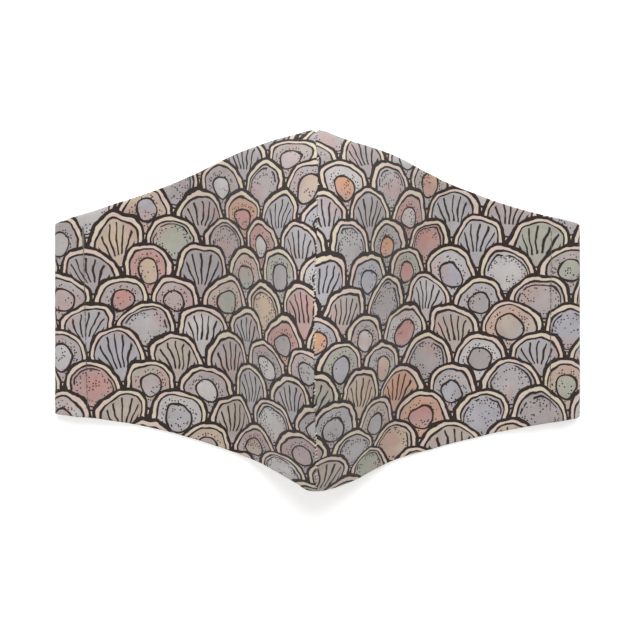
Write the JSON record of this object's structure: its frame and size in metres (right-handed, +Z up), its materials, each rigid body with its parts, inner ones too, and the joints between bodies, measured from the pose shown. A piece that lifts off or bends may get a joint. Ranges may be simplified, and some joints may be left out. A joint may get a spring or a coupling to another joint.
{
  "type": "cloth face mask",
  "caption": "Contoured cloth face mask of two printed panels joined by a centre seam, with a folded casing along each side edge for an ear elastic.",
  "frame": {"origin": "on the table under the middle of the mask's box, as it lies by itself with its hollow down", "axes": "+Z up, away from the wearer's face; +Y towards the nose edge; +X along the mask's width, to the right seen from the front"},
  "size_m": [0.225, 0.149, 0.0553],
  "materials": {
    "printed_cotton": "plain-weave cotton printed with a scale pattern in greys, mauves, pinks and cream, matt",
    "plain_cotton": "unbleached plain-weave cotton, matt",
    "casing_cotton": "the printed cotton folded to the back, matt"
  },
  "bodies": {
    "root": {"left_panel": "printed_cotton", "right_panel": "printed_cotton", "centre_seam_allowance": "plain_cotton", "left_side_casing": "casing_cotton", "right_side_casing": "casing_cotton"}
  },
  "joints": []
}
